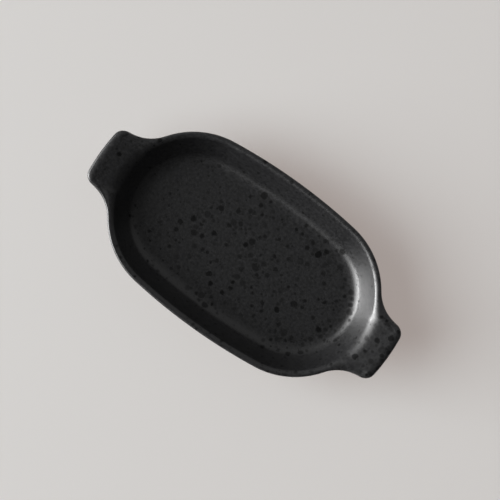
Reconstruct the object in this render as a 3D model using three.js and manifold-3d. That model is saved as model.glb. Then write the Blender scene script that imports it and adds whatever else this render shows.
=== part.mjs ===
// An oval dish with two ears, in glazed stoneware. A pressed bowl carries two lug ears and a foot ring,
// luted to it with slip, and one coat of glaze runs over everything but the foot ring.
// Millimetres, +Z up, +X from ear to ear. The origin is on the table, under the middle of the dish.

import * as THREE from "three";
import { mergeVertices } from "three/addons/utils/BufferGeometryUtils.js";
import Module from "manifold-3d";

const wasm = await Module();
wasm.setup();

const { degToRad, lerp } = THREE.MathUtils;

// Bowl, measured over the glaze
const BOWL_LENGTH = 169; // lip to lip along the dish, without the ears
const BOWL_WIDTH = 102.2; // lip to lip across the dish
const SIDE_SWELL = 2.2; // how far the long sides bow out past circles struck round the ends
const LIP_HEIGHT = 22; // table to lip
const LIP_ROUND = 1.75; // the two round edges of the lip
const LIP_CROWN = 0.35; // flat on top of the lip, between its round edges
const LEAN_AT_LIP = degToRad(28); // inside wall from upright, under the lip
const LEAN_AT_FOOT = degToRad(40); // inside wall from upright, at the foot of its hollow curve
const WALL_FOOT_THICKNESS = 4.8; // wall at the foot of its hollow curve, measured level
const FLOOR_THICKNESS = 4.4; // inside floor to the underside of the clay
const FLOOR_FILLET = 8; // tight hollow between the wall and the inside floor
const FLOOR_RUN_OUT = 22; // slow hollow that ends the fillet in the floor
const RUN_OUT_TILT = degToRad(12); // slope at which a tight curve turns into a slow one
const BASE_ROUND = 12; // round from the outside wall to the base
const WALL_LAND = 1; // least straight wall between an ear's underside and the base round

// Ears
const EAR_REACH = 15.5; // end of the bowl to the tip of the ear
const EAR_RISE = 2.5; // top of an ear over the lip
const EAR_SLOPE = degToRad(11); // top of an ear from level, up towards its tip
const EAR_WIDTH = 36; // across the corners of the tip
const EAR_CORNER_RADIUS = 6.2; // corners of the tip, from above
const EAR_TIP_RADIUS = 114; // slow bow of the tip's edge, from above
const EAR_FLARE_RADIUS = 25; // hollow curve that carries the lip into the ear, from above
const EAR_TIP_THICKNESS = 5; // ear at its edge
const EAR_ROOT_THICKNESS = 7; // ear where it meets the bowl, before the hollow under it
const EAR_ROOT_DEPTH = 12; // lip to where the ear's underside has run out into the wall
const EAR_INNER_ROUND = 11; // tight curve between the inside wall and the top of an ear
const EAR_WALL_HOLLOW = 150; // hollow curve of the inside wall under an ear, flatter than round the bowl
const EAR_BROW = 8; // slow curve from the top of an ear towards its edge
const EAR_EDGE_ROUND = 1.5; // upper edge of an ear, under its brow
const EAR_UNDER_ROUND = 2.2; // lower edge of an ear

// Foot ring
const FOOT_HEIGHT = 2.2; // table to the underside of the bowl
const FOOT_WIDTH = 4; // thickness of the ring, from above
const FOOT_SETBACK = 2.5; // from the edge of the flat base in to the ring
const FOOT_EDGE_RADIUS = 0.6; // the two edges that stand on the table

// Glaze
const GLAZE_THICKNESS = 0.4;
const GLAZE_MARGIN = 1; // bare clay left between the glaze and the foot ring

// Clearances
const SLIP_JOINT = 0.1; // slip between two luted pieces of clay
const GLAZE_BOND = 0.05; // between the clay and its glaze

// Facets: steps along each arc of the outline and of the section
const SIDE_STEPS = 3;
const END_STEPS = 5;
const FLARE_STEPS = 5;
const CORNER_STEPS = 4;
const TIP_STEPS = 3;
const RUN_OUT_STEPS = 1;
const FILLET_STEPS = 3;
const WALL_STEPS = 2;
const ROUND_STEPS = 4;
const BROW_STEPS = 2;
const EDGE_STEPS = 2;
const UNDERSIDE_STEPS = 3;
const BASE_STEPS = 3;

const RIGHT_ANGLE = Math.PI / 2;

// The lip's oval from above: two end circles joined by two slow side arcs
const HALF_WIDTH = BOWL_WIDTH / 2;
const HALF_LENGTH = BOWL_LENGTH / 2;
const END_RADIUS = HALF_WIDTH - SIDE_SWELL;
const END_CENTRE = new THREE.Vector2(HALF_LENGTH - END_RADIUS, 0);
const SIDE_RADIUS = (END_CENTRE.x ** 2 + HALF_WIDTH ** 2 - END_RADIUS ** 2) / (2 * SIDE_SWELL);
const SIDE_CENTRE = new THREE.Vector2(0, HALF_WIDTH - SIDE_RADIUS);
const JOIN_ANGLE = Math.atan2(-SIDE_CENTRE.y, END_CENTRE.x);

// Levels and rounds of the section; an inset is measured from the lip's oval towards the middle
const COAT = GLAZE_THICKNESS + GLAZE_BOND;
const BASE_LEVEL = FOOT_HEIGHT - COAT;
const FLOOR_LEVEL = FOOT_HEIGHT + FLOOR_THICKNESS;

// The inside, as arcs that meet as tangents. A tilt is the slope of the surface from level.
const FOOT_TILT = RIGHT_ANGLE - LEAN_AT_FOOT;
const LIP_TILT = RIGHT_ANGLE - LEAN_AT_LIP;
const FILLET_FOOT = FLOOR_LEVEL + riseOf(FLOOR_RUN_OUT, 0, RUN_OUT_TILT);
const WALL_FOOT = FILLET_FOOT + riseOf(FLOOR_FILLET, RUN_OUT_TILT, FOOT_TILT);
const WALL_TOP = LIP_HEIGHT - riseOf(LIP_ROUND, 0, LIP_TILT);
const WALL_HOLLOW = (WALL_TOP - WALL_FOOT) / riseOf(1, FOOT_TILT, LIP_TILT);
const WALL_TOP_INSET = LIP_ROUND + LIP_CROWN + runOf(LIP_ROUND, 0, LIP_TILT);
const WALL_FOOT_INSET = WALL_TOP_INSET + runOf(WALL_HOLLOW, FOOT_TILT, LIP_TILT);
const FILLET_FOOT_INSET = WALL_FOOT_INSET + runOf(FLOOR_FILLET, RUN_OUT_TILT, FOOT_TILT);
const FLOOR_EDGE = FILLET_FOOT_INSET + runOf(FLOOR_RUN_OUT, 0, RUN_OUT_TILT);

// The outside wall leaves the lip's round as a tangent and passes WALL_FOOT_THICKNESS outside the wall's foot
const OUTSIDE_FOOT = WALL_FOOT_INSET - WALL_FOOT_THICKNESS;
const OUTSIDE_CHORD = new THREE.Vector2(LIP_HEIGHT - LIP_ROUND - WALL_FOOT, OUTSIDE_FOOT - LIP_ROUND);
const OUTSIDE_LEAN = OUTSIDE_CHORD.angle() + Math.asin(LIP_ROUND / OUTSIDE_CHORD.length());
const BASE_EDGE = outsideInset(BASE_LEVEL + BASE_ROUND) + BASE_ROUND / Math.cos(OUTSIDE_LEAN);
const BASE_ROUND_TOP = BASE_LEVEL + BASE_ROUND * (1 - Math.sin(OUTSIDE_LEAN));
const EAR_RUN_OUT = Math.max(LIP_HEIGHT - EAR_ROOT_DEPTH, BASE_ROUND_TOP + WALL_LAND);
const FOOT_OUTSIDE = BASE_EDGE + FOOT_SETBACK;
const FOOT_INSIDE = FOOT_OUTSIDE + FOOT_WIDTH;

// How far an arc of a section goes level between two tilts
function runOf(radius, from, to) {
  return radius * (Math.sin(to) - Math.sin(from));
}

// How far an arc of a section rises between two tilts
function riseOf(radius, from, to) {
  return radius * (Math.cos(from) - Math.cos(to));
}

function outsideInset(z) {
  return OUTSIDE_FOOT - (z - WALL_FOOT) * Math.tan(OUTSIDE_LEAN);
}

// The shares 0 to 1 of a stretch that is divided into equal steps
function shares(steps) {
  return Array.from({ length: steps + 1 }, (_, step) => step / steps);
}

// The point of the oval, moved in by inset, whose outward normal is the unit vector spoke
function ovalPoint(spoke, inset) {
  const onEnd = Math.abs(spoke.y) <= Math.sin(JOIN_ANGLE);
  const centre = onEnd ? END_CENTRE : SIDE_CENTRE;
  const radius = onEnd ? END_RADIUS : SIDE_RADIUS;
  const facing = new THREE.Vector2(Math.sign(spoke.x), Math.sign(spoke.y));
  return centre.clone().multiply(facing).addScaledVector(spoke, radius - inset);
}

// Points along an arc, with the outward normal there; a hollow arc has its centre outside the dish
function arc(centre, radius, from, to, steps, hollow = false) {
  return shares(steps).map((share) => {
    const angle = lerp(from, to, share);
    const ray = new THREE.Vector2(Math.cos(angle), Math.sin(angle));
    const point = centre.clone().addScaledVector(ray, radius);
    return { point, normal: hollow ? ray.negate() : ray };
  });
}

// Arcs that follow each other, without the first point of each later one, where it meets the one before
function chain(first, ...later) {
  return [...first, ...later.flatMap((next) => next.slice(1))];
}

// The point at the two given distances from two centres, on the left of the way from one to the other
function pointFromCentres(centreA, distanceA, centreB, distanceB) {
  const way = centreB.clone().sub(centreA);
  const apart = way.length();
  const along = (apart ** 2 + distanceA ** 2 - distanceB ** 2) / (2 * apart);
  const aside = Math.sqrt(distanceA ** 2 - along ** 2);
  way.normalize();
  const left = new THREE.Vector2(-way.y, way.x);
  return centreA.clone().addScaledVector(way, along).addScaledVector(left, aside);
}

// A quarter of the plain oval, from the middle of a long side to the end
function ovalQuarter() {
  const side = arc(SIDE_CENTRE, SIDE_RADIUS, RIGHT_ANGLE, JOIN_ANGLE, SIDE_STEPS);
  const end = arc(END_CENTRE, END_RADIUS, JOIN_ANGLE, 0, END_STEPS);
  return chain(side, end);
}

// A quarter of the outline with its ear: side, end circle, hollow flare, corner and tip, each a tangent arc
function earedQuarter() {
  const corner = Math.min(EAR_CORNER_RADIUS, EAR_WIDTH / 2);
  const tipCentre = new THREE.Vector2(HALF_LENGTH + EAR_REACH - EAR_TIP_RADIUS, 0);
  const cornerRise = EAR_WIDTH / 2 - corner;
  const cornerRun = Math.sqrt((EAR_TIP_RADIUS - corner) ** 2 - cornerRise ** 2);
  const cornerCentre = new THREE.Vector2(tipCentre.x + cornerRun, cornerRise);
  const flareCentre = pointFromCentres(
    END_CENTRE,
    END_RADIUS + EAR_FLARE_RADIUS,
    cornerCentre,
    corner + EAR_FLARE_RADIUS,
  );
  const flareStart = flareCentre.clone().sub(END_CENTRE).angle();
  const flareEnd = cornerCentre.clone().sub(flareCentre).angle();
  const tipStart = Math.atan2(cornerRise, cornerRun);
  const opposite = Math.PI;
  return chain(
    arc(SIDE_CENTRE, SIDE_RADIUS, RIGHT_ANGLE, JOIN_ANGLE, SIDE_STEPS),
    arc(END_CENTRE, END_RADIUS, JOIN_ANGLE, flareStart, END_STEPS),
    arc(flareCentre, EAR_FLARE_RADIUS, flareStart + opposite, flareEnd, FLARE_STEPS, true),
    arc(cornerCentre, corner, flareEnd - opposite, tipStart, CORNER_STEPS),
    arc(tipCentre, EAR_TIP_RADIUS, tipStart, 0, TIP_STEPS),
  );
}

// A station of the loft: the outline's point and normal, the oval's spoke that leads to it, and how much
// of an ear the section is there, from 0 on the plain lip to 1 at the tip
function station({ point, normal }) {
  const ray = point.clone().sub(END_CENTRE);
  const spoke = ray.angle() <= JOIN_ANGLE ? ray.normalize() : normal.clone();
  const reach = point.distanceTo(ovalPoint(spoke, 0));
  return { outline: point, normal, spoke, ear: Math.min(reach / EAR_REACH, 1) };
}

// A quarter's stations mirrored into all four, anticlockwise from the end at +X
function allRound(quarter) {
  const back = [...quarter].reverse();
  const mirrored = (stations, x, y) => {
    const facing = new THREE.Vector2(x, y);
    return stations.slice(0, -1).map(({ outline, normal, spoke, ear }) => ({
      outline: outline.clone().multiply(facing),
      normal: normal.clone().multiply(facing),
      spoke: spoke.clone().multiply(facing),
      ear,
    }));
  };
  return [
    ...mirrored(back, 1, 1),
    ...mirrored(quarter, -1, 1),
    ...mirrored(back, -1, -1),
    ...mirrored(quarter, 1, -1),
  ];
}

// The highest level of the section, on the lip or on an ear
function topLevel(ear) {
  return LIP_HEIGHT + EAR_RISE * ear;
}

// Points up an arc of the inside, which turns hollow while its tilt grows and round while its tilt falls
function climb(start, radius, from, to, steps) {
  const turn = Math.sign(to - from);
  return shares(steps).map((share) => {
    const tilt = lerp(from, to, share);
    const inset = start.inset - turn * runOf(radius, from, tilt);
    return { inset, z: start.z + turn * riseOf(radius, from, tilt) };
  });
}

// The inside from the edge of the floor to the top of the lip or of an ear. The hollow wall meets the round
// at the tilt from which the round runs out, at the ear's slope, straight to the brink of the brow.
function insideSection(ear) {
  const tight = lerp(LIP_ROUND, EAR_INNER_ROUND, ear);
  const hollow = lerp(WALL_HOLLOW, EAR_WALL_HOLLOW, ear);
  const slope = EAR_SLOPE * ear;
  const brink = edgeSection(ear).at(0);
  const footToBrink = WALL_FOOT_INSET + EAR_REACH * ear - brink.inset;
  const run = footToBrink + hollow * Math.sin(FOOT_TILT) + tight * Math.sin(slope);
  const fall = WALL_FOOT - brink.z + hollow * Math.cos(FOOT_TILT) + tight * Math.cos(slope);
  const over = fall * Math.cos(slope) + run * Math.sin(slope);
  const meeting = slope + Math.acos(over / (hollow + tight));
  const floorEdge = { inset: FLOOR_EDGE, z: FLOOR_LEVEL };
  const runOut = climb(floorEdge, FLOOR_RUN_OUT, 0, RUN_OUT_TILT, RUN_OUT_STEPS);
  const fillet = climb(runOut.at(-1), FLOOR_FILLET, RUN_OUT_TILT, FOOT_TILT, FILLET_STEPS);
  const wall = climb(fillet.at(-1), hollow, FOOT_TILT, meeting, WALL_STEPS);
  const round = climb(wall.at(-1), tight, meeting, slope, ROUND_STEPS);
  return chain(runOut, fillet, wall, round);
}

// Points down a round arc towards the outline
function descend(start, radius, from, to, steps) {
  return shares(steps).map((share) => {
    const tilt = lerp(from, to, share);
    return { inset: start.inset - runOf(radius, from, tilt), z: start.z - riseOf(radius, from, tilt) };
  });
}

// The brow and the upper edge of the lip or of an ear, out to the outline
function edgeSection(ear) {
  const slope = EAR_SLOPE * ear;
  const brow = lerp(LIP_ROUND, EAR_BROW, ear);
  const tight = lerp(LIP_ROUND, EAR_EDGE_ROUND, ear);
  const inset = runOf(brow, -slope, RUN_OUT_TILT) + runOf(tight, RUN_OUT_TILT, RIGHT_ANGLE);
  const brink = { inset, z: topLevel(ear) - riseOf(brow, 0, slope) };
  const over = descend(brink, brow, -slope, RUN_OUT_TILT, BROW_STEPS);
  return chain(over, descend(over.at(-1), tight, RUN_OUT_TILT, RIGHT_ANGLE, EDGE_STEPS));
}

// One section of the finished surface, from the edge of the inside floor over the lip to the glaze line.
// The inside and the wall follow the oval, and the lip's outer edge follows the outline and its ears.
function sectionAt({ outline, normal, spoke, ear }) {
  const section = [];
  const place = (plan, z) => section.push(new THREE.Vector3(plan.x, plan.y, z));
  const onOval = (inset, z) => place(ovalPoint(spoke, inset), z);
  const onOutline = (inset, z) => place(outline.clone().addScaledVector(normal, -inset), z);

  insideSection(ear).forEach(({ inset, z }) => onOval(inset, z));
  // The edge is squeezed where the flare brings the outline close to the inside
  const edge = edgeSection(ear);
  const crest = section.at(-1);
  const room = outline.clone().sub(crest).dot(normal);
  const fit = Math.min(1, room / edge[0].inset);
  edge.forEach(({ inset, z }) => onOutline(inset * fit, z));
  for (const share of shares(EDGE_STEPS)) {
    const turn = share * RIGHT_ANGLE;
    const z = topLevel(ear) - EAR_TIP_THICKNESS + EAR_UNDER_ROUND * (1 - Math.sin(turn));
    onOutline(lerp(outsideInset(z), EAR_UNDER_ROUND * (1 - Math.cos(turn)), ear), z);
  }
  section.push(...earUnderside(section.at(-1), spoke, ear));
  for (const share of shares(BASE_STEPS)) {
    const turn = lerp(OUTSIDE_LEAN, RIGHT_ANGLE, share);
    const rise = BASE_ROUND * (1 - Math.sin(turn));
    onOval(BASE_EDGE - BASE_ROUND * Math.cos(turn), BASE_LEVEL + rise);
  }
  onOval(FOOT_OUTSIDE - GLAZE_MARGIN, BASE_LEVEL);
  return section;
}

// The hollow from an ear's edge along its underside and down into the wall, after the edge's own point
function earUnderside(edge, spoke, ear) {
  const onWall = (z) => {
    const plan = ovalPoint(spoke, outsideInset(z));
    return new THREE.Vector3(plan.x, plan.y, z);
  };
  const root = onWall(topLevel(ear) - EAR_ROOT_THICKNESS);
  const hollow = new THREE.QuadraticBezierCurve3(edge, root, onWall(EAR_RUN_OUT));
  return hollow.getPoints(UNDERSIDE_STEPS).slice(1);
}

// Triangles over a grid of stations by rows, which run from the inside over the lip to the outside.
// The grid has its first vertex at offset, and closedRows joins the last row to the first.
function gridTriangles(stations, rows, offset, closedRows = false) {
  const vertex = (i, k) => offset + (i % stations) * rows + (k % rows);
  const triangles = [];
  for (let i = 0; i < stations; i += 1) {
    for (let k = 0; k < (closedRows ? rows : rows - 1); k += 1) {
      triangles.push([vertex(i, k), vertex(i, k + 1), vertex(i + 1, k + 1)]);
      triangles.push([vertex(i, k), vertex(i + 1, k + 1), vertex(i + 1, k)]);
    }
  }
  return triangles;
}

function geometryOf(points, triangles) {
  return new THREE.BufferGeometry().setFromPoints(points).setIndex(triangles.flat());
}

// The finished surface of the dish: an open skin from the middle of the inside floor to the glaze line
function finishedSkin() {
  const sections = allRound(earedQuarter().map(station)).map(sectionAt);
  const stations = sections.length;
  const rows = sections[0].length;
  const first = (i) => 1 + (i % stations) * rows;
  const last = (i) => first(i) + rows - 1;
  const triangles = gridTriangles(stations, rows, 1);
  const glazeLine = [];
  for (let i = 0; i < stations; i += 1) {
    triangles.push([0, first(i), first(i + 1)]);
    glazeLine.push([last(i), last(i + 1)]);
  }
  const floorMiddle = new THREE.Vector3(0, 0, FLOOR_LEVEL);
  const geometry = geometryOf([floorMiddle, ...sections.flat()], triangles);
  geometry.computeVertexNormals();
  return { geometry, triangles, glazeLine };
}

// The points of a skin moved by depth into the dish
function pointsBelow({ geometry }, depth) {
  const { position, normal } = geometry.attributes;
  return Array.from({ length: position.count }, (_, i) => {
    const outward = new THREE.Vector3().fromBufferAttribute(normal, i);
    return new THREE.Vector3().fromBufferAttribute(position, i).addScaledVector(outward, -depth);
  });
}

// The glaze over the dish: the finished skin, the same skin on the clay side, and the edge between them
function glazeCoat(skin) {
  const finished = pointsBelow(skin, 0);
  const below = pointsBelow(skin, GLAZE_THICKNESS);
  const inner = finished.length;
  const claySide = skin.triangles.map(([a, b, c]) => [inner + c, inner + b, inner + a]);
  const edge = skin.glazeLine.flatMap(([a, b]) => [
    [b, a, inner + a],
    [b, inner + a, inner + b],
  ]);
  return geometryOf([...finished, ...below], [...skin.triangles, ...claySide, ...edge]);
}

// The clay of the bowl and both ears in one: the skin under the glaze, closed by the flat base
function clayBody(skin) {
  const surface = pointsBelow(skin, COAT);
  const baseMiddle = surface.length;
  const base = skin.glazeLine.map(([a, b]) => [b, a, baseMiddle]);
  return geometryOf([...surface, new THREE.Vector3(0, 0, FOOT_HEIGHT)], [...skin.triangles, ...base]);
}

function solidOf(geometry) {
  const bare = geometry.clone();
  bare.deleteAttribute("normal");
  bare.deleteAttribute("uv");
  const merged = mergeVertices(bare);
  const vertProperties = new Float32Array(merged.attributes.position.array);
  const triVerts = new Uint32Array(merged.index.array);
  return new wasm.Manifold(new wasm.Mesh({ numProp: 3, vertProperties, triVerts }));
}

function geometryOfSolid(solid) {
  const { vertProperties, triVerts } = solid.getMesh();
  const position = new THREE.BufferAttribute(new Float32Array(vertProperties), 3);
  const index = new THREE.BufferAttribute(new Uint32Array(triVerts), 1);
  return new THREE.BufferGeometry().setAttribute("position", position).setIndex(index);
}

// The space beyond the plane across the dish at x, over the whole width and height of the dish
function spaceBeyond(x) {
  const length = 2 * EAR_REACH;
  const box = new THREE.BoxGeometry(length, 2 * BOWL_WIDTH, 2 * LIP_HEIGHT);
  return solidOf(box.translate(x + length / 2, 0, LIP_HEIGHT));
}

// The bowl without its ears, which are butted on at its two ends
function bowlClay(clay) {
  const atRight = spaceBeyond(HALF_LENGTH);
  const atLeft = spaceBeyond(-HALF_LENGTH - 2 * EAR_REACH);
  return geometryOfSolid(clay.subtract(atRight).subtract(atLeft));
}

// The ear at +X, from its butt joint to its tip
function earClay(clay) {
  return geometryOfSolid(clay.intersect(spaceBeyond(HALF_LENGTH + SLIP_JOINT)));
}

// The ring under the base, swept round the oval, with round edges where it stands
function footRing() {
  const edge = FOOT_EDGE_RADIUS;
  const top = FOOT_HEIGHT - SLIP_JOINT;
  const profile = [new THREE.Vector2(FOOT_INSIDE, top), new THREE.Vector2(FOOT_OUTSIDE, top)];
  for (const share of shares(EDGE_STEPS)) {
    const turn = share * RIGHT_ANGLE;
    const inset = FOOT_OUTSIDE + edge * (1 - Math.cos(turn));
    profile.push(new THREE.Vector2(inset, edge * (1 - Math.sin(turn))));
  }
  for (const share of shares(EDGE_STEPS)) {
    const turn = (1 - share) * RIGHT_ANGLE;
    const inset = FOOT_INSIDE - edge * (1 - Math.cos(turn));
    profile.push(new THREE.Vector2(inset, edge * (1 - Math.sin(turn))));
  }
  const stations = allRound(ovalQuarter().map(station));
  const points = stations.flatMap(({ spoke }) =>
    profile.map(({ x: inset, y: z }) => {
      const plan = ovalPoint(spoke, inset);
      return new THREE.Vector3(plan.x, plan.y, z);
    }),
  );
  return geometryOf(points, gridTriangles(stations.length, profile.length, 0, true));
}

// The glazed panel of the base inside the foot ring
function baseGlaze() {
  const stations = allRound(ovalQuarter().map(station));
  const outline = stations.map(({ spoke }) => ovalPoint(spoke, FOOT_INSIDE + GLAZE_MARGIN));
  const settings = { depth: GLAZE_THICKNESS, bevelEnabled: false };
  return new THREE.ExtrudeGeometry(new THREE.Shape(outline), settings);
}

const STONEWARE_LOOK = { color: 0xa9998a, roughness: 0.85, metalness: 0 };
const GLAZE_LOOK = { color: 0x2a2a2c, roughness: 0.42, metalness: 0 };

function piece(name, geometry, look) {
  const mesh = new THREE.Mesh(geometry, new THREE.MeshStandardMaterial(look));
  mesh.name = name;
  return mesh;
}

function earedDish() {
  const skin = finishedSkin();
  const clay = solidOf(clayBody(skin));
  const clayPieces = new THREE.Group();
  clayPieces.add(piece("bowl", bowlClay(clay), STONEWARE_LOOK));
  clayPieces.add(piece("ear_right", earClay(clay), STONEWARE_LOOK));
  const earLeft = piece("ear_left", earClay(clay), STONEWARE_LOOK);
  earLeft.rotation.z = Math.PI;
  clayPieces.add(earLeft);
  clayPieces.add(piece("foot_ring", footRing(), STONEWARE_LOOK));

  const glazePieces = new THREE.Group();
  glazePieces.add(piece("glaze_coat", glazeCoat(skin), GLAZE_LOOK));
  const panel = piece("base_glaze", baseGlaze(), GLAZE_LOOK);
  panel.position.z = BASE_LEVEL;
  glazePieces.add(panel);

  const dish = new THREE.Group();
  dish.add(clayPieces, glazePieces);
  return dish;
}

export default earedDish();
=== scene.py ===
"""The looks of an oval eared dish in satin black glaze, laid out as an add-on and run as a script.

The glaze, the glazed base panel and the foot ring are modelled over the solid pieces, at their sizes.
The clay of the bowl and the ears keeps its solids, which show only in the bare margins under the base.
"""

import math
from collections import namedtuple

import bmesh
import bpy
from bpy.props import FloatProperty, FloatVectorProperty, PointerProperty
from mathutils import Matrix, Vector


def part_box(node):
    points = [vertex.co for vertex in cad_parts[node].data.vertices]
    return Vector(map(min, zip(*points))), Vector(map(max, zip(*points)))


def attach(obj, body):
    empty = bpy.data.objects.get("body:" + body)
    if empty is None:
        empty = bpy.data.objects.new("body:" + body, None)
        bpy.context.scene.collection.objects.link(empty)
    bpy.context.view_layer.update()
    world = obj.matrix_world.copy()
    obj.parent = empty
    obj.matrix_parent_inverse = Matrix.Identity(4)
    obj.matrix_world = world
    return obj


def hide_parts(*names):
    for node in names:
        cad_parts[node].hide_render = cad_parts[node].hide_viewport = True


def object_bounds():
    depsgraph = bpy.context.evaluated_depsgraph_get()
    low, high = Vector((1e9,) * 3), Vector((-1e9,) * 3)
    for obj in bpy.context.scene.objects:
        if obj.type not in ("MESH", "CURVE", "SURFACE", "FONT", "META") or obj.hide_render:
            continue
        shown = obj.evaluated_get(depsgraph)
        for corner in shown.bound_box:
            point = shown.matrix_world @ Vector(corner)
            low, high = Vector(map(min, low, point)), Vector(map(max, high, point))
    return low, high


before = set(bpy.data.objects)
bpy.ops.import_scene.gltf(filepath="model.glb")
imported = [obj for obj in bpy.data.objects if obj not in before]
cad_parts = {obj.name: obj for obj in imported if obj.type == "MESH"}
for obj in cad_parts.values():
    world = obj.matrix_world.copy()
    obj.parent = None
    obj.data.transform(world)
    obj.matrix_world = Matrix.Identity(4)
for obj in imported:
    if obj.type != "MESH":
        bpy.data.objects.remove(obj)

bl_info = {
    "name": "Oval Eared Dish",
    "version": (1, 0, 0),
    "blender": (4, 5, 0),
    "location": "3D View > Sidebar > Dish",
    "description": "Models an oval eared stoneware dish with its satin black glaze, on a pale floor",
    "category": "Object",
}

# Corners of the boxes that the solid model already holds, in metres
CAD_LOW, CAD_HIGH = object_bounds()
BOWL_LOW, BOWL_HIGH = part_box("bowl")
GLAZE_LOW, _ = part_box("glaze_coat")
FOOT_LOW, FOOT_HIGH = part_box("foot_ring")
PANEL_LOW, PANEL_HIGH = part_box("base_glaze")

MM = 0.001
LIP_HEIGHT = 22 * MM
RIGHT_ANGLE = math.pi / 2

# Faces that meet at more than this keep an edge between them
SHARP_FROM = math.radians(40)

# Points of a mesh that lie closer than this are one
MERGE_WITHIN = 0.001 * MM

# Steps along each arc of the outline and of the section
SIDE_STEPS = 16
END_STEPS = 16
FLARE_STEPS = 12
CORNER_STEPS = 8
TIP_STEPS = 8
RUN_OUT_STEPS = 6
FILLET_STEPS = 8
WALL_STEPS = 6
ROUND_STEPS = 8
BROW_STEPS = 6
TOP_STEPS = 6
EDGE_STEPS = 6
UNDERSIDE_STEPS = 10
BASE_STEPS = 10
GLAZE_EDGE_STEPS = 3

# What a noise is on average
NOISE_MIDDLE = (0.5, 0.5, 0.5)

# The waver that bends the spots out of round: the length of its waves and how far it moves a spot's rim
WAVER_SIZE = 2.5 * MM
WAVER_REACH = 1.6 * MM

# The drifts that the spots gather in: their width, which of the possible layouts they take, the part of the
# noise that they use, and how much they starve or swell a spot
DRIFT_SIZE = 26 * MM
DRIFT_SEED = 3
DRIFT_NOISE = (0.38, 0.6)
DRIFT_SWELL = (0.7, 1.3)

# The stretch of the dish's length over which the spots grow, and from which share to which
ALONG_REACH = (-60 * MM, 10 * MM)
ALONG_SWELL = (0.78, 1.06)

# The levels over which the spots shrink from the floor to the wall and grow again from the lip to the ears,
# and their size there against those on the floor, where the glaze lay thickest
FLOOR_FADE = (7.5 * MM, 11 * MM)
EAR_FADE = (20 * MM, 23.5 * MM)
FLOOR_SPOTS = 1
WALL_SPOTS = 0.4
EAR_SPOTS = 1.2

# Each layer of spots: the width of the cell that a spot has to itself, and its smallest and largest radius
SpotLayer = namedtuple("SpotLayer", "cell smallest largest")
SPOT_LAYERS = (
    SpotLayer(5 * MM, 0.75 * MM, 1.95 * MM),
    SpotLayer(4.2 * MM, 0.4 * MM, 1.2 * MM),
    SpotLayer(2.4 * MM, 0.12 * MM, 0.4 * MM),
)

# What all spots share: half the width of the soft rim, how rare the large ones are (1 is as common as the
# small ones), the weakest and the strongest of them, and their roughness
SPOT_RIM = 0.5 * MM
SPOT_RARITY = 1.1
SPOT_STRENGTH = (0.3, 0.8)
SPOT_ROUGHNESS = 0.5

# The crystals of the satin glaze, drawn coarser than they are so that they show: their size, the part of the
# noise that they use, and the roughness between and on them
CRYSTAL_SIZE = 1.6 * MM
CRYSTAL_NOISE = (0.3, 0.7)
SATIN_ROUGHNESS = (0.31, 0.43)

# Relief of the glaze and of the bare clay
PEEL_SIZE = 1.1 * MM
PEEL_DEPTH = 0.04 * MM
GRIT_SIZE = 0.7 * MM
GRIT_DEPTH = 0.1 * MM

# Iron flecks of the clay: the width of the cell that each has to itself, and where its rim starts and ends,
# as shares of that cell
FLECK_CELL = 2.2 * MM
FLECK_RIM = (0.08, 0.16)

# Bands of the window, which is brighter and narrower towards its sill
WINDOW_PANES = 5

# The floor's width, and how far it lies under the foot ring, so that the two don't share a plane
FLOOR_WIDTH = 6000 * MM
FLOOR_DROP = 0.05 * MM

# How near something has to be over the floor to take away the painted glow that the floor keeps in shade:
# painted shade in the nook under the dish
PAINTED_SHADE_REACH = 12 * MM

Station = namedtuple("Station", "outline normal spoke ear")


def linear(hex_colour):
    """An sRGB hex colour as linear red, green and blue."""
    channels = [int(hex_colour[i:i + 2], 16) / 255 for i in (1, 3, 5)]
    return [c / 12.92 if c <= 0.04045 else ((c + 0.055) / 1.055) ** 2.4 for c in channels]


def length(name, description, default):
    """A length that a user may change, in metres."""
    return FloatProperty(name=name, description=description, default=default, unit="LENGTH", precision=4)


def angle(name, description, degrees):
    """An angle that a user may change, written in degrees."""
    return FloatProperty(name=name, description=description, default=math.radians(degrees), subtype="ANGLE")


def brightness(name, description, default):
    """The brightness of a light that a user may change, in watts per square metre and steradian."""
    return FloatProperty(name=name, description=description, default=default, min=0)


def colour(name, description, hex_colour):
    """A colour that a user may change, written as sRGB hex."""
    return FloatVectorProperty(
        name=name, description=description, default=linear(hex_colour), subtype="COLOR", min=0, max=1
    )


class BowlSizes(bpy.types.PropertyGroup):
    """The bowl, measured over the glaze."""

    length: length("Length", "Lip to lip along the dish, without the ears", BOWL_HIGH.x - BOWL_LOW.x)
    width: length("Width", "Lip to lip across the dish", CAD_HIGH.y - CAD_LOW.y)
    height: length("Height", "Table to lip", LIP_HEIGHT)
    side_swell: length("Side swell", "How far the long sides bow past circles round the ends", 2.2 * MM)
    lip_round: length("Lip round", "Round edges of the solid's lip, which place the walls", 1.75 * MM)
    lip_crown: length("Crown", "Flat on top of the solid's lip between its round edges", 0.35 * MM)
    lip_inside: length("Lip inside", "Soft round from the top of the lip into the inside wall", 3.2 * MM)
    lip_outside: length("Lip outside", "Tighter round from the top of the lip to the outline", 1.15 * MM)
    lean_lip: angle("Lean at the lip", "Inside wall from upright, under the lip", 28)
    lean_foot: angle("Lean at the foot", "Inside wall from upright, at the foot of its hollow curve", 40)
    wall_foot: length("Wall foot", "Level thickness of the wall at the foot of its hollow curve", 4.8 * MM)
    floor_level: length("Floor level", "Table to the inside floor", 6.6 * MM)
    floor_fillet: length("Floor fillet", "Tight hollow between the wall and the floor", 8 * MM)
    floor_run_out: length("Floor run-out", "Slow hollow that ends the fillet in the floor", 22 * MM)
    run_out_tilt: angle("Run-out tilt", "Slope at which a tight curve turns into a slow one", 12)
    base_level: length("Base level", "Table to the glazed underside", GLAZE_LOW.z)
    base_round: length("Base round", "Round from the outside wall to the base", 12 * MM)


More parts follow.
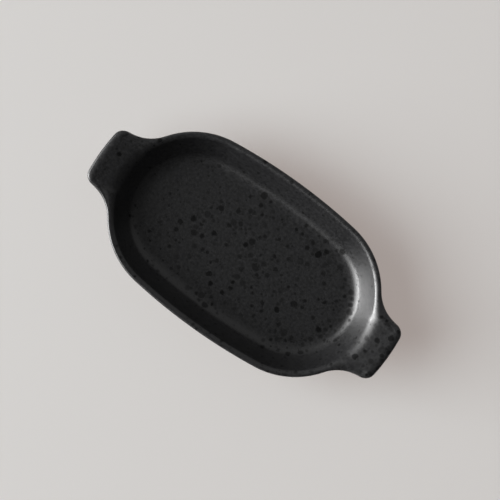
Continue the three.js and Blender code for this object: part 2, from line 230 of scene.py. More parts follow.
class EarSizes(bpy.types.PropertyGroup):
    """The ears, which rise a little from the lip to their tips."""

    reach: length("Reach", "End of the bowl to the tip of the ear", CAD_HIGH.x - BOWL_HIGH.x)
    rise: length("Rise", "Top of the ear over the lip", CAD_HIGH.z - LIP_HEIGHT)
    width: length("Width", "Across the corners of the tip", 36 * MM)
    corner: length("Corner", "Corner radius of the tip from above", 6.2 * MM)
    tip_radius: length("Tip bow", "Slow bow of the tip's edge from above", 114 * MM)
    flare: length("Flare", "Hollow curve that carries the lip into the ear", 25 * MM)
    tip_thickness: length("Tip thickness", "Ear at its edge", 5 * MM)
    root_thickness: length("Root thickness", "Ear where it meets the bowl", 7 * MM)
    root_depth: length("Root depth", "Lip to where the underside has run out into the wall", 12 * MM)
    inner_round: length("Inner round", "Tight curve between the inside wall and the top of the ear", 11 * MM)
    slope: angle("Slope", "Top of the ear from level, up towards its tip", 11)
    wall_hollow: length("Wall hollow", "Hollow curve of the inside wall under the ear", 150 * MM)
    brow: length("Brow", "Slow curve from the top of the ear towards its edge", 8 * MM)
    edge_round: length("Edge round", "Upper edge of the ear, under its brow", 1.5 * MM)
    under_round: length("Under round", "Lower edge of the ear", 2.2 * MM)


class FootSizes(bpy.types.PropertyGroup):
    """The bare foot ring and the glazed panel inside it, as insets from the lip's oval."""

    outside: length("Outside", "Lip to the ring's outer face", FOOT_LOW.x - BOWL_LOW.x)
    width: length("Width", "Thickness of the ring from above", 4 * MM)
    top: length("Top", "Table to the top of the ring", FOOT_HIGH.z)
    edge: length("Edge", "Round edges that stand on the table", 0.6 * MM)
    panel: length("Panel", "Lip to the edge of the glazed panel", PANEL_LOW.x - BOWL_LOW.x)


class GlazeSettings(bpy.types.PropertyGroup):
    """The coat of glaze, and the colours of the glaze and the clay."""

    thickness: length("Thickness", "Depth of the glass", 0.4 * MM)
    margin: length("Margin", "Bare clay between the glaze and the foot ring", 1 * MM)
    edge: length("Edge", "Round of the glaze line where the glass ends", 0.15 * MM)
    black: colour("Black", "The satin glaze", "#0b0b0c")
    bloom: colour("Bloom", "Fine crystals that grey the satin glaze", "#212122")
    spot: colour("Spots", "Dead black spots where the glaze crystallised", "#0c0c0c")
    clay: colour("Clay", "Bare fired stoneware", "#a9998a")
    fleck: colour("Flecks", "Iron flecks in the stoneware", "#5b4a3c")


class StageSettings(bpy.types.PropertyGroup):
    """The camera, the light and the floor. The window and the pale wall are angles seen from the dish."""

    camera_height: length("Camera height", "Lip to the camera, straight above the dish", 820 * MM)
    view_width: length("View width", "Width of the picture at the lip", 283.2 * MM)
    offset_right: length("Right", "Picture's middle to the right of the dish's middle", 3.2 * MM)
    offset_up: length("Up", "Picture's middle above the dish's middle", 2.5 * MM)
    roll: angle("Roll", "Turn of the camera round the upright", 35.7)
    window_away: length("Window distance", "Dish to the window and to the pale wall", 3000 * MM)
    window_turn: angle("Window turn", "Middle of the window, turned from the picture's left to its top", 2)
    window_sill: angle("Sill", "Foot of the window over the level of the table", 2)
    window_head: angle("Head", "Top of the window over the level of the table", 53)
    sill_side: angle("Sill side", "Half the width of the window at its foot", 17)
    head_side: angle("Head side", "Half the width of the window at its top", 44)
    sill_light: brightness("Sill light", "Brightness at the foot of the window", 28)
    head_light: brightness("Head light", "Brightness at the top of the window", 2.5)
    wall_turn: angle("Wall turn", "Pale wall of the room, turned from the picture's right to its top", 70)
    wall_foot: angle("Wall foot", "Foot of the pale wall over the level of the table", 6)
    wall_head: angle("Wall head", "Top of the pale wall over the level of the table", 75)
    wall_side: angle("Wall side", "Half the width of the pale wall", 62)
    wall_light: brightness("Wall light", "Brightness of the pale wall", 0.22)
    surround: brightness("Surround", "Brightness of the room all round", 0.06)
    floor: colour("Floor", "Pale floor where the window lights it", "#9ca3a4")
    # The floor's painted fill light: a glow of this colour that it shows even in full shade
    painted_floor_fill: colour("Floor in shade", "What the floor keeps in full shade", "#9a8f8a")


def shares(steps):
    """The shares 0 to 1 of a stretch in equal steps."""
    return [step / steps for step in range(steps + 1)]


def mix(a, b, share):
    """The value that lies at a share of the way from a to b."""
    return a + (b - a) * share


def steps_between(a, b, steps):
    """Equal steps from a to b, with both ends."""
    return [mix(a, b, share) for share in shares(steps)]


def lifted(point, z):
    """A plan point at a level."""
    return Vector((point.x, point.y, z))


def angle_of(vector):
    """A plan vector's angle from +X, from 0 to a full turn."""
    return math.atan2(vector.y, vector.x) % (2 * math.pi)


def arc(centre, radius, start, end, steps, side=1):
    """Points along an arc with the outward normals; side is -1 where the centre lies outside the dish."""
    stretch = []
    for turn in steps_between(start, end, steps):
        ray = Vector((math.cos(turn), math.sin(turn)))
        stretch.append((centre + ray * radius, ray * side))
    return stretch


def point_from_centres(centre_a, distance_a, centre_b, distance_b):
    """The point at two distances from two centres, on the left of the way from one to the other."""
    way = centre_b - centre_a
    apart = way.length
    along = (apart ** 2 + distance_a ** 2 - distance_b ** 2) / (2 * apart)
    aside = math.sqrt(distance_a ** 2 - along ** 2)
    way.normalize()
    return centre_a + way * along + Vector((-way.y, way.x)) * aside


def run_of(radius, tilt_a, tilt_b):
    """How far an arc of a section goes level between two slopes."""
    return radius * (math.sin(tilt_b) - math.sin(tilt_a))


def rise_of(radius, tilt_a, tilt_b):
    """How far an arc of a section rises between two slopes."""
    return radius * (math.cos(tilt_a) - math.cos(tilt_b))


def climb(points, radius, tilt_a, tilt_b, steps):
    """Adds the points up an arc of the inside, hollow where its slope grows and round where it falls."""
    inset, z = points[-1]
    turn = math.copysign(1, tilt_b - tilt_a)
    for tilt in steps_between(tilt_a, tilt_b, steps)[1:]:
        points.append((inset - turn * run_of(radius, tilt_a, tilt), z + turn * rise_of(radius, tilt_a, tilt)))


def descend(points, radius, tilt_a, tilt_b, steps):
    """Adds the points down a round arc towards the outline."""
    inset, z = points[-1]
    for tilt in steps_between(tilt_a, tilt_b, steps)[1:]:
        points.append((inset - run_of(radius, tilt_a, tilt), z - rise_of(radius, tilt_a, tilt)))


def lower_edge(inset, low, radius, side=1):
    """Insets and levels down a quarter round, from upright at an inset to level at its foot; side is -1 where
    it turns towards the lip."""
    return [
        (inset + side * radius * (1 - math.cos(turn)), low + radius * (1 - math.sin(turn)))
        for turn in steps_between(0, RIGHT_ANGLE, EDGE_STEPS)
    ]


class DishForm:
    """The dish as a formula: its oval, its outline with ears, and its section at any station round it."""

    def __init__(self, scene):
        bowl = self.bowl = scene.dish_bowl
        self.ear = scene.dish_ear

        # The lip's oval: two end arcs and two long side arcs, which share a tangent where they meet
        self.end_radius = bowl.width / 2 - bowl.side_swell
        self.end_centre = Vector((bowl.length / 2 - self.end_radius, 0))
        rise = (bowl.width / 2) ** 2 - self.end_radius ** 2
        self.side_radius = (self.end_centre.x ** 2 + rise) / (2 * bowl.side_swell)
        self.side_centre = Vector((0, bowl.width / 2 - self.side_radius))
        self.join_angle = math.atan2(-self.side_centre.y, self.end_centre.x)

        # The inside: a slow run-out from the floor, a tight fillet, and a hollow wall up to the solid's lip
        slow_tilt = bowl.run_out_tilt
        lip_tilt = RIGHT_ANGLE - bowl.lean_lip
        self.foot_tilt = RIGHT_ANGLE - bowl.lean_foot
        self.wall_foot = (
            bowl.floor_level
            + rise_of(bowl.floor_run_out, 0, slow_tilt)
            + rise_of(bowl.floor_fillet, slow_tilt, self.foot_tilt)
        )
        wall_top = bowl.height - rise_of(bowl.lip_round, 0, lip_tilt)
        self.wall_hollow = (wall_top - self.wall_foot) / rise_of(1, self.foot_tilt, lip_tilt)
        self.wall_foot_inset = (
            bowl.lip_round
            + bowl.lip_crown
            + run_of(bowl.lip_round, 0, lip_tilt)
            + run_of(self.wall_hollow, self.foot_tilt, lip_tilt)
        )
        self.floor_edge = (
            self.wall_foot_inset
            + run_of(bowl.floor_fillet, slow_tilt, self.foot_tilt)
            + run_of(bowl.floor_run_out, 0, slow_tilt)
        )

        # The outside: a straight wall that touches the round of the solid's lip, and the round of the base
        self.outside_foot = self.wall_foot_inset - bowl.wall_foot
        drop = bowl.height - bowl.lip_round - self.wall_foot
        run = self.outside_foot - bowl.lip_round
        self.outside_lean = math.atan2(run, drop) + math.asin(bowl.lip_round / math.hypot(run, drop))
        round_level = bowl.base_level + bowl.base_round
        self.base_edge = self.outside_inset(round_level) + bowl.base_round / math.cos(self.outside_lean)
        self.glaze_line = scene.dish_foot.outside - scene.dish_glaze.margin

    def outside_inset(self, z):
        """The outside wall's distance in from the lip's oval at a level."""
        return self.outside_foot - (z - self.wall_foot) * math.tan(self.outside_lean)

    def oval_point(self, spoke, inset):
        """The point of the oval, moved in by inset, whose outward normal is spoke."""
        on_end = abs(spoke.y) <= math.sin(self.join_angle)
        centre = self.end_centre if on_end else self.side_centre
        radius = self.end_radius if on_end else self.side_radius
        facing = Vector((math.copysign(centre.x, spoke.x), math.copysign(1, spoke.y) * centre.y))
        return facing + spoke * (radius - inset)

    def quarter(self, eared):
        """Points and normals from the middle of a long side to the tip of the ear or the end of the oval."""
        side = arc(self.side_centre, self.side_radius, RIGHT_ANGLE, self.join_angle, SIDE_STEPS)
        if not eared:
            return side + arc(self.end_centre, self.end_radius, self.join_angle, 0, END_STEPS)[1:]
        ear = self.ear
        tip_centre = Vector((self.bowl.length / 2 + ear.reach - ear.tip_radius, 0))
        corner_rise = ear.width / 2 - ear.corner
        corner_run = math.sqrt((ear.tip_radius - ear.corner) ** 2 - corner_rise ** 2)
        corner_centre = tip_centre + Vector((corner_run, corner_rise))
        flare_centre = point_from_centres(
            self.end_centre, self.end_radius + ear.flare, corner_centre, ear.corner + ear.flare
        )
        flare_start = angle_of(flare_centre - self.end_centre)
        flare_end = angle_of(corner_centre - flare_centre)
        tip_start = math.atan2(corner_rise, corner_run)
        return (
            side
            + arc(self.end_centre, self.end_radius, self.join_angle, flare_start, END_STEPS)[1:]
            + arc(flare_centre, ear.flare, flare_start + math.pi, flare_end, FLARE_STEPS, -1)[1:]
            + arc(corner_centre, ear.corner, flare_end - math.pi, tip_start, CORNER_STEPS)[1:]
            + arc(tip_centre, ear.tip_radius, tip_start, 0, TIP_STEPS)[1:]
        )

    def station(self, point, normal):
        """Where the loft has a section; its ear weight goes from 0 on the plain lip to 1 at the tip."""
        ray = point - self.end_centre
        spoke = ray.normalized() if angle_of(ray) <= self.join_angle else normal
        reach = (point - self.oval_point(spoke, 0)).length
        return Station(point, normal, spoke, min(reach / self.ear.reach, 1))

    def stations(self, eared=True):
        """All stations, anticlockwise from the tip at +X, by mirroring a quarter."""
        quarter = [self.station(point, normal) for point, normal in self.quarter(eared)]
        back = quarter[::-1]
        around = []
        for part, x, y in ((back, 1, 1), (quarter, -1, 1), (back, -1, -1), (quarter, 1, -1)):
            facing = Vector((x, y))
            around += [
                Station(s.outline * facing, s.normal * facing, s.spoke * facing, s.ear) for s in part[:-1]
            ]
        return around

    def oval_loops(self, profile):
        """Loops of points round the plain oval, one at each inset and level of a profile."""
        stations = self.stations(eared=False)
        return [[lifted(self.oval_point(s.spoke, inset), z) for s in stations] for inset, z in profile]

    def top_level(self, weight):
        """The highest level of a section, on the lip or on an ear as its weight grows."""
        return self.bowl.height + self.ear.rise * weight

    def inside(self, weight):
        """Insets and levels from the edge of the floor to the top of the lip, or of an ear as its weight
        grows. The wall's hollow gives way to the round over it at the tilt from which the round ends in line
        with the start of the edge."""
        bowl, ear, slow_tilt = self.bowl, self.ear, self.bowl.run_out_tilt
        tight = mix(bowl.lip_inside, ear.inner_round, weight)
        hollow = mix(self.wall_hollow, ear.wall_hollow, weight)
        slope = ear.slope * weight
        brink_inset, brink_z = self.edge(weight)[0]
        run = self.wall_foot_inset + hollow * math.sin(self.foot_tilt) + tight * math.sin(slope)
        run += ear.reach * weight - brink_inset
        rise = self.wall_foot + hollow * math.cos(self.foot_tilt) + tight * math.cos(slope) - brink_z
        over = rise * math.cos(slope) + run * math.sin(slope)
        meeting = slope + math.acos(over / (hollow + tight))
        points = [(self.floor_edge, bowl.floor_level)]
        climb(points, bowl.floor_run_out, 0, slow_tilt, RUN_OUT_STEPS)
        climb(points, bowl.floor_fillet, slow_tilt, self.foot_tilt, FILLET_STEPS)
        climb(points, hollow, self.foot_tilt, meeting, WALL_STEPS)
        climb(points, tight, meeting, slope, ROUND_STEPS)
        return points

    def edge(self, weight):
        """Insets and levels of the brow and the upper edge, from the top of the lip or ear to the outline."""
        slow_tilt = self.bowl.run_out_tilt
        slope = self.ear.slope * weight
        brow = mix(self.bowl.lip_outside, self.ear.brow, weight)
        tight = mix(self.bowl.lip_outside, self.ear.edge_round, weight)
        inset = run_of(brow, -slope, slow_tilt) + run_of(tight, slow_tilt, RIGHT_ANGLE)
        points = [(inset, self.top_level(weight) - rise_of(brow, 0, slope))]
        descend(points, brow, -slope, slow_tilt, BROW_STEPS)
        descend(points, tight, slow_tilt, RIGHT_ANGLE, ROUND_STEPS)
        return points

    def section(self, station):
        """The surface at a station, from the edge of the inside floor over the lip to the glaze line."""
        bowl, ear = self.bowl, self.ear
        points = []

        def on_oval(inset, z):
            points.append(lifted(self.oval_point(station.spoke, inset), z))

        def on_outline(inset, z):
            points.append(lifted(station.outline - station.normal * inset, z))

        for inset, z in self.inside(station.ear):
            on_oval(inset, z)

        crest = points[-1]
        edge = self.edge(station.ear)
        inset, z = edge[0]
        fit = min(1, (station.outline - crest.xy).dot(station.normal) / inset)
        brink = lifted(station.outline - station.normal * inset * fit, z)
        points += [crest.lerp(brink, share) for share in shares(TOP_STEPS)[1:-1]]
        for inset, z in edge:
            on_outline(inset * fit, z)
        edge_foot = self.top_level(station.ear) - ear.tip_thickness
        for inset, z in lower_edge(0, edge_foot, ear.under_round):
            on_outline(mix(self.outside_inset(z), inset, station.ear), z)
        points += self.underside(points[-1], station)
        for turn in steps_between(self.outside_lean, RIGHT_ANGLE, BASE_STEPS):
            rise = bowl.base_round * (1 - math.sin(turn))
            on_oval(self.base_edge - bowl.base_round * math.cos(turn), bowl.base_level + rise)
        on_oval(self.glaze_line, bowl.base_level)
        return points

    def underside(self, edge, station):
        """The hollow from an ear's edge, which is left out, along its underside and down into the wall."""
        root_z = self.top_level(station.ear) - self.ear.root_thickness
        end_z = self.bowl.height - self.ear.root_depth
        root, end = (
            lifted(self.oval_point(station.spoke, self.outside_inset(z)), z) for z in (root_z, end_z)
        )
        return [
            edge.lerp(root, share).lerp(root.lerp(end, share), share) for share in shares(UNDERSIDE_STEPS)[1:]
        ]


def loft(name, loops):
    """A skin of quads made by extruding a ring of edges through each loop of points in turn."""
    bpy.ops.object.select_all(action="DESELECT")
    bpy.ops.mesh.primitive_circle_add(vertices=len(loops[0]), fill_type="NOTHING")
    piece = bpy.context.object
    piece.name = piece.data.name = name
    bpy.ops.object.mode_set(mode="EDIT")
    mesh = bmesh.from_edit_mesh(piece.data)
    station = mesh.verts.layers.int.new("station")
    row = mesh.verts.layers.int.new("row")
    for i, vertex in enumerate(mesh.verts):
        vertex[station] = i
    for k, loop in enumerate(loops):
        if k:
            bpy.ops.mesh.extrude_edges_move()
            mesh = bmesh.from_edit_mesh(piece.data)
            station = mesh.verts.layers.int["station"]
            row = mesh.verts.layers.int["row"]
        for vertex in mesh.verts:
            if vertex.select:
                vertex.co = loop[vertex[station]]
                vertex[row] = k
    bmesh.update_edit_mesh(piece.data)
    return piece


def cap_row(piece, k):
    """Closes one loop of a loft with a face, in edit mode."""
    bpy.ops.mesh.select_all(action="DESELECT")
    bpy.ops.mesh.select_mode(type="EDGE")
    mesh = bmesh.from_edit_mesh(piece.data)
    row = mesh.verts.layers.int["row"]
    for edge in mesh.edges:
        edge.select_set(all(vertex[row] == k for vertex in edge.verts))
    bmesh.update_edit_mesh(piece.data)
    bpy.ops.mesh.edge_face_add()


def outward():
    """Turns the faces of the piece in edit mode to point outwards."""
    bpy.ops.mesh.select_all(action="SELECT")
    bpy.ops.mesh.normals_make_consistent(inside=False)


def finish_piece(piece, node, material):
    """Smooths a finished piece, gives it its material and puts it in its node's place."""
    bpy.ops.object.mode_set(mode="OBJECT")
    for layer in ("station", "row"):
        piece.data.attributes.remove(piece.data.attributes[layer])
    bpy.ops.object.shade_smooth_by_angle(angle=SHARP_FROM)
    piece.data.materials.append(material)
    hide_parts(node)
    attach(piece, "root")


def add_node(tree, kind, inputs=None, **settings):
    """A node with its settings; each input takes a value or another node's output socket."""
    node = tree.nodes.new(kind)
    for name, value in settings.items():
        setattr(node, name, value)
    for name, value in (inputs or {}).items():
        if isinstance(value, bpy.types.NodeSocket):
            tree.links.new(value, node.inputs[name])
        else:
            node.inputs[name].default_value = value
    return node


def new_material(name):
    """An empty node material, and its tree."""
    material = bpy.data.materials.new(name)
    material.use_nodes = True
    tree = material.node_tree
    tree.nodes.clear()
    return material, tree


def opaque(rgb):
    """A colour property as red, green, blue and alpha."""
    return (*rgb, 1)


def spot_mask(tree, place, layer, crowding):
    """A mask of one layer's round spots, uneven in size and strength; crowding swells or starves them."""
    cells = add_node(tree, "ShaderNodeTexVoronoi", {"Vector": place, "Scale": 1 / layer.cell})
    dice = add_node(tree, "ShaderNodeSeparateColor", {"Color": cells.outputs["Color"]})
    draw = add_node(tree, "ShaderNodeMath", {0: dice.outputs["Red"], 1: SPOT_RARITY}, operation="POWER")
    smallest, largest = layer.smallest / layer.cell, layer.largest / layer.cell
    sized = add_node(
        tree, "ShaderNodeMapRange", {"Value": draw.outputs[0], "To Min": smallest, "To Max": largest}
    )
    radius = add_node(tree, "ShaderNodeMath", {0: sized.outputs[0], 1: crowding}, operation="MULTIPLY")
    past = add_node(
        tree, "ShaderNodeMath", {0: cells.outputs["Distance"], 1: radius.outputs[0]}, operation="SUBTRACT"
    )
    weakest, strongest = SPOT_STRENGTH
    strength = add_node(
        tree, "ShaderNodeMapRange", {"Value": dice.outputs["Green"], "To Min": weakest, "To Max": strongest}
    )
    rim = SPOT_RIM / layer.cell
    limits = {"From Min": -rim, "From Max": rim, "To Min": strength.outputs[0], "To Max": 0}
    return add_node(
        tree,
        "ShaderNodeMapRange",
        {"Value": past.outputs[0], **limits},
        interpolation_type="SMOOTHSTEP",
    ).outputs["Result"]


def glaze_spots(tree, place):
    """A mask of all the spots: in uneven drifts, thick on the floor and the ears and thin on the walls."""
    waver = add_node(tree, "ShaderNodeTexNoise", {"Vector": place, "Scale": 1 / WAVER_SIZE, "Detail": 2})
    centred = add_node(
        tree, "ShaderNodeVectorMath", {0: waver.outputs["Color"], 1: NOISE_MIDDLE}, operation="SUBTRACT"
    )
    nudge = add_node(
        tree, "ShaderNodeVectorMath", {0: centred.outputs[0], "Scale": WAVER_REACH}, operation="SCALE"
    )
    bent = add_node(
        tree, "ShaderNodeVectorMath", {0: place, 1: nudge.outputs[0]}, operation="ADD"
    ).outputs[0]
    drift = add_node(
        tree,
        "ShaderNodeTexNoise",
        {"Vector": place, "Scale": 1 / DRIFT_SIZE, "Detail": 2, "W": DRIFT_SEED},
        noise_dimensions="4D",
    )
    position = add_node(tree, "ShaderNodeSeparateXYZ", {"Vector": place})
    swells = []
    for value, (start, end), (low, high) in (
        (drift.outputs["Fac"], DRIFT_NOISE, DRIFT_SWELL),
        (position.outputs["X"], ALONG_REACH, ALONG_SWELL),
        (position.outputs["Z"], FLOOR_FADE, (FLOOR_SPOTS, WALL_SPOTS)),
        (position.outputs["Z"], EAR_FADE, (WALL_SPOTS, EAR_SPOTS)),
    ):
        limits = {"From Min": start, "From Max": end, "To Min": low, "To Max": high}
        swells.append(add_node(tree, "ShaderNodeMapRange", {"Value": value, **limits}).outputs["Result"])
    drifted, along, on_floor, on_ears = swells
    thinned = add_node(tree, "ShaderNodeMath", {0: on_floor, 1: on_ears}, operation="MAXIMUM")
    gathered = add_node(tree, "ShaderNodeMath", {0: drifted, 1: along}, operation="MULTIPLY")
    crowding = add_node(
        tree, "ShaderNodeMath", {0: gathered.outputs[0], 1: thinned.outputs[0]}, operation="MULTIPLY"
    ).outputs[0]
    spots, *others = (spot_mask(tree, bent, layer, crowding) for layer in SPOT_LAYERS)
    for mask in others:
        spots = add_node(tree, "ShaderNodeMath", {0: spots, 1: mask}, operation="MAXIMUM").outputs[0]
    return spots


def satin_black_glaze(settings):
    """Satin black stoneware glaze, fired: a soft, even sheen with crystals spread through the glass, broken
    by dead black spots of 1 to 3.5 mm that reflect next to nothing and cut holes into the highlights."""
    material, tree = new_material("satin_black_stoneware_glaze_fired")
    place = add_node(tree, "ShaderNodeTexCoord").outputs["Object"]
    spots = glaze_spots(tree, place)
    mottle = add_node(
        tree,
        "ShaderNodeTexNoise",
        {"Vector": place, "Scale": 1 / CRYSTAL_SIZE, "Detail": 4, "Roughness": 0.7},
    )
    sparse, dense = CRYSTAL_NOISE
    crystals = add_node(
        tree, "ShaderNodeMapRange", {"Value": mottle.outputs["Fac"], "From Min": sparse, "From Max": dense}
    ).outputs["Result"]
    body = add_node(
        tree,
        "ShaderNodeMix",
        {"Factor": crystals, "A": opaque(settings.black), "B": opaque(settings.bloom)},
        data_type="RGBA",
    )
    tint = add_node(
        tree,
        "ShaderNodeMix",
        {"Factor": spots, "A": body.outputs["Result"], "B": opaque(settings.spot)},
        data_type="RGBA",
    )
    smooth, matt = SATIN_ROUGHNESS
    sheen = add_node(tree, "ShaderNodeMapRange", {"Value": crystals, "To Min": smooth, "To Max": matt})
    gloss = add_node(
        tree, "ShaderNodeMix", {"Factor": spots, "A": sheen.outputs["Result"], "B": SPOT_ROUGHNESS}
    )
    peel = add_node(tree, "ShaderNodeTexNoise", {"Vector": place, "Scale": 1 / PEEL_SIZE, "Detail": 2})
    pitted = add_node(tree, "ShaderNodeMath", {0: peel.outputs["Fac"], 1: spots}, operation="SUBTRACT")
    relief = add_node(
        tree, "ShaderNodeBump", {"Height": pitted.outputs[0], "Strength": 0.25, "Distance": PEEL_DEPTH}
    )
    # As a metal of a black colour a spot has neither diffuse light nor a reflection of the glass over it
    shader = add_node(
        tree,
        "ShaderNodeBsdfPrincipled",
        {
            "Base Color": tint.outputs["Result"],
            "Metallic": spots,
            "Roughness": gloss.outputs["Result"],
            "IOR": 1.7,
            "Normal": relief.outputs["Normal"],
        },
    )
    add_node(tree, "ShaderNodeOutputMaterial", {"Surface": shader.outputs["BSDF"]})
    return material


def bare_stoneware(settings):
    """Stoneware fired without glaze: a dry, sandy, even surface with fine grit and scattered iron flecks."""
    material, tree = new_material("bare_fired_stoneware")
    place = add_node(tree, "ShaderNodeTexCoord").outputs["Object"]
    grit = add_node(tree, "ShaderNodeTexNoise", {"Vector": place, "Scale": 1 / GRIT_SIZE, "Detail": 4})
    flecks = add_node(tree, "ShaderNodeTexVoronoi", {"Vector": place, "Scale": 1 / FLECK_CELL})
    start, end = FLECK_RIM
    fleck = add_node(
        tree,
        "ShaderNodeMapRange",
        {"Value": flecks.outputs["Distance"], "From Min": start, "From Max": end, "To Min": 1, "To Max": 0},
    )
    speckled = add_node(
        tree,
        "ShaderNodeMix",
        {"Factor": fleck.outputs["Result"], "A": opaque(settings.clay), "B": opaque(settings.fleck)},
        data_type="RGBA",
    )
    relief = add_node(
        tree, "ShaderNodeBump", {"Height": grit.outputs["Fac"], "Strength": 0.4, "Distance": GRIT_DEPTH}
    )
    shader = add_node(
        tree,
        "ShaderNodeBsdfPrincipled",
        {
            "Base Color": speckled.outputs["Result"],
            "Roughness": 0.85,
            "IOR": 1.5,
            "Normal": relief.outputs["Normal"],
        },
    )
    add_node(tree, "ShaderNodeOutputMaterial", {"Surface": shader.outputs["BSDF"]})
    return material


def pale_floor(settings):
    """A plain, pale, matt floor with painted fill light, which the eye sees glow at a part of its colour even
    in full shade, but for painted shade in the nook close under the dish."""
    material, tree = new_material("pale_matt_floor")
    shader = add_node(
        tree,
        "ShaderNodeBsdfPrincipled",
        {"Base Color": opaque(settings.floor), "Roughness": 0.9, "IOR": 1.45},
    )
    # Painted fill light: camera, glossy and transmission rays see the floor glow in its shade colour even
    # where no lamp reaches
    path = add_node(tree, "ShaderNodeLightPath")
    seen = path.outputs["Is Camera Ray"]
    for ray in ("Is Glossy Ray", "Is Transmission Ray"):
        seen = add_node(
            tree, "ShaderNodeMath", {0: seen, 1: path.outputs[ray]}, operation="MAXIMUM"
        ).outputs[0]
    # Painted shade: ambient occlusion dims the painted glow close under the dish
    painted_nook_shade = add_node(tree, "ShaderNodeAmbientOcclusion", {"Distance": PAINTED_SHADE_REACH}).outputs["AO"]
    strength = add_node(tree, "ShaderNodeMath", {0: seen, 1: painted_nook_shade}, operation="MULTIPLY").outputs[0]
    shade = add_node(
        tree, "ShaderNodeEmission", {"Color": opaque(settings.painted_floor_fill), "Strength": strength}
    )
    both = add_node(tree, "ShaderNodeAddShader", {0: shader.outputs["BSDF"], 1: shade.outputs["Emission"]})
    add_node(tree, "ShaderNodeOutputMaterial", {"Surface": both.outputs["Shader"]})
    return material


def kept_material(make, settings):
    """A material made on its first use and shared from then on."""
    key = make.__name__
    for material in bpy.data.materials:
        if material.get("made_by") == key:
            return material
    material = make(settings)
    material["made_by"] = key
    return material


def add_pane(name, toward, away, levels, side, light):
    """An upright pane of light between two angles over the table, within a half width, seen from the dish."""
    base, top = (away * math.tan(level) for level in levels)
    bpy.ops.object.light_add(type="AREA", location=lifted(toward * away, (base + top) / 2))
    lamp = bpy.context.object
    lamp.name = name
    lamp.rotation_euler = toward.to_track_quat("Z", "Y").to_euler()
    lamp.data.shape = "RECTANGLE"
    lamp.data.size = 2 * away * math.tan(side)
    lamp.data.size_y = top - base
    # The power at which a flat lamp of that size has the brightness asked for
    lamp.data.energy = light * math.pi * lamp.data.size * lamp.data.size_y


class DISH_OT_glaze_coat(bpy.types.Operator):
    """Loft the glaze from the inside floor over the lip and the ears to the glaze line under the base"""

    bl_idname = "dish.glaze_coat"
    bl_label = "Glaze coat"

    def execute(self, context):
        glaze = context.scene.dish_glaze
        form = DishForm(context.scene)
        sections = [form.section(station) for station in form.stations()]
        piece = loft("glaze_skin", list(zip(*sections)))
        cap_row(piece, 0)
        outward()
        bpy.ops.object.mode_set(mode="OBJECT")
        depth = piece.modifiers.new("glass depth", "SOLIDIFY")
        depth.thickness = glaze.thickness
        depth.offset = -1
        bpy.ops.object.modifier_apply(modifier=depth.name)
        line = piece.modifiers.new("glaze line", "BEVEL")
        line.width = glaze.edge
        line.segments = GLAZE_EDGE_STEPS
        line.angle_limit = SHARP_FROM
        bpy.ops.object.modifier_apply(modifier=line.name)
        finish_piece(piece, "glaze_coat", kept_material(satin_black_glaze, glaze))
        return {"FINISHED"}


class DISH_OT_base_panel(bpy.types.Operator):
    """Model the glazed panel of the base inside the foot ring, with a soft edge"""

    bl_idname = "dish.base_panel"
    bl_label = "Base panel"

    def execute(self, context):
        foot, glaze = context.scene.dish_foot, context.scene.dish_glaze
        profile = lower_edge(foot.panel, PANEL_LOW.z, PANEL_HIGH.z - PANEL_LOW.z)
        piece = loft("base_panel", DishForm(context.scene).oval_loops(profile))
        for k in (0, len(profile) - 1):
            cap_row(piece, k)
        outward()
        finish_piece(piece, "base_glaze", kept_material(satin_black_glaze, glaze))
        return {"FINISHED"}


class DISH_OT_foot_ring(bpy.types.Operator):
    """Sweep the bare foot ring round the oval, with round edges where it stands"""

    bl_idname = "dish.foot_ring"
    bl_label = "Foot ring"

    def execute(self, context):
        foot, glaze = context.scene.dish_foot, context.scene.dish_glaze
        inside = foot.outside + foot.width
        profile = [(inside, foot.top), (foot.outside, foot.top)]
        profile += lower_edge(foot.outside, 0, foot.edge)
        profile += lower_edge(inside, 0, foot.edge, side=-1)[::-1]
        profile += profile[:1]
        piece = loft("foot_ring_bare", DishForm(context.scene).oval_loops(profile))
        bpy.ops.mesh.select_all(action="SELECT")
        bpy.ops.mesh.remove_doubles(threshold=MERGE_WITHIN)
        outward()
        finish_piece(piece, "foot_ring", kept_material(bare_stoneware, glaze))
        return {"FINISHED"}


class DISH_OT_clay(bpy.types.Operator):
    """Give the clay of the bowl and the ears its bare stoneware"""

    bl_idname = "dish.clay"
    bl_label = "Clay"

    def execute(self, context):
        material = kept_material(bare_stoneware, context.scene.dish_glaze)
        for name in ("bowl", "ear_left", "ear_right"):
            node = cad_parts[name]
            node.data.materials.clear()
            node.data.materials.append(material)
        return {"FINISHED"}


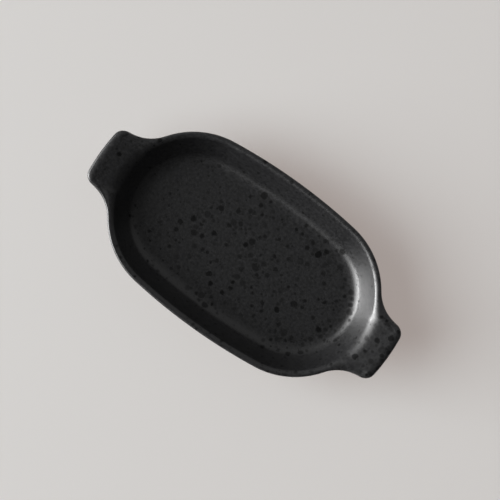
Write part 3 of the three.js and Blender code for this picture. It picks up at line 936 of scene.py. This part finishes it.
class DISH_OT_stage(bpy.types.Operator):
    """Set the camera straight above the dish, the window light and the pale floor"""

    bl_idname = "dish.stage"
    bl_label = "Stage"

    def execute(self, context):
        scene = context.scene
        stage = scene.dish_stage
        bpy.ops.object.select_all(action="DESELECT")
        bpy.ops.mesh.primitive_plane_add(size=FLOOR_WIDTH, location=(0, 0, -FLOOR_DROP))
        floor = context.object
        floor.name = "floor"
        floor.data.materials.append(kept_material(pale_floor, stage))

        right = Vector((math.cos(stage.roll), math.sin(stage.roll), 0))
        up = Vector((-right.y, right.x, 0))
        middle = right * stage.offset_right + up * stage.offset_up
        height = scene.dish_bowl.height + stage.camera_height
        bpy.ops.object.camera_add(location=lifted(middle, height), rotation=(0, 0, stage.roll))
        camera = context.object
        camera.data.lens = camera.data.sensor_width * stage.camera_height / stage.view_width
        scene.camera = camera

        window = up * math.sin(stage.window_turn) - right * math.cos(stage.window_turn)
        levels = steps_between(stage.window_sill, stage.window_head, WINDOW_PANES)
        sides = steps_between(stage.sill_side, stage.head_side, WINDOW_PANES - 1)
        dimming = stage.head_light / stage.sill_light
        lights = [stage.sill_light * dimming ** share for share in shares(WINDOW_PANES - 1)]
        for low, high, side, light in zip(levels, levels[1:], sides, lights):
            add_pane("window", window, stage.window_away, (low, high), side, light)
        wall = right * math.cos(stage.wall_turn) + up * math.sin(stage.wall_turn)
        levels = (stage.wall_foot, stage.wall_head)
        add_pane("wall", wall, stage.window_away, levels, stage.wall_side, stage.wall_light)

        world = bpy.data.worlds.new("room")
        world.use_nodes = True
        room = world.node_tree.nodes["Background"]
        room.inputs["Color"].default_value = (1, 1, 1, 1)
        room.inputs["Strength"].default_value = stage.surround
        scene.world = world
        scene.view_settings.view_transform = "Standard"
        return {"FINISHED"}


OPERATORS = (DISH_OT_glaze_coat, DISH_OT_base_panel, DISH_OT_foot_ring, DISH_OT_clay, DISH_OT_stage)

SETTINGS = {
    "dish_bowl": BowlSizes,
    "dish_ear": EarSizes,
    "dish_foot": FootSizes,
    "dish_glaze": GlazeSettings,
    "dish_stage": StageSettings,
}


class DISH_PT_panel(bpy.types.Panel):
    """The dish's pieces, and its sizes and colours"""

    bl_idname = "DISH_PT_panel"
    bl_label = "Oval Eared Dish"
    bl_space_type = "VIEW_3D"
    bl_region_type = "UI"
    bl_category = "Dish"

    def draw(self, context):
        for operator in OPERATORS:
            self.layout.operator(operator.bl_idname)
        for name in SETTINGS:
            box = self.layout.box()
            group = getattr(context.scene, name)
            for prop in group.bl_rna.properties:
                if not prop.is_readonly and prop.identifier != "name":
                    box.prop(group, prop.identifier)


def register():
    """Adds the settings, the operators and the panel."""
    for name, group in SETTINGS.items():
        bpy.utils.register_class(group)
        setattr(bpy.types.Scene, name, PointerProperty(type=group))
    for operator in OPERATORS:
        bpy.utils.register_class(operator)
    bpy.utils.register_class(DISH_PT_panel)


def unregister():
    """Takes the panel, the operators and the settings away again."""
    bpy.utils.unregister_class(DISH_PT_panel)
    for operator in reversed(OPERATORS):
        bpy.utils.unregister_class(operator)
    for name, group in reversed(SETTINGS.items()):
        delattr(bpy.types.Scene, name)
        bpy.utils.unregister_class(group)


def main():
    """Makes every piece and the stage."""
    register()
    bpy.ops.dish.glaze_coat()
    bpy.ops.dish.base_panel()
    bpy.ops.dish.foot_ring()
    bpy.ops.dish.clay()
    bpy.ops.dish.stage()


if __name__ == "__main__":
    main()
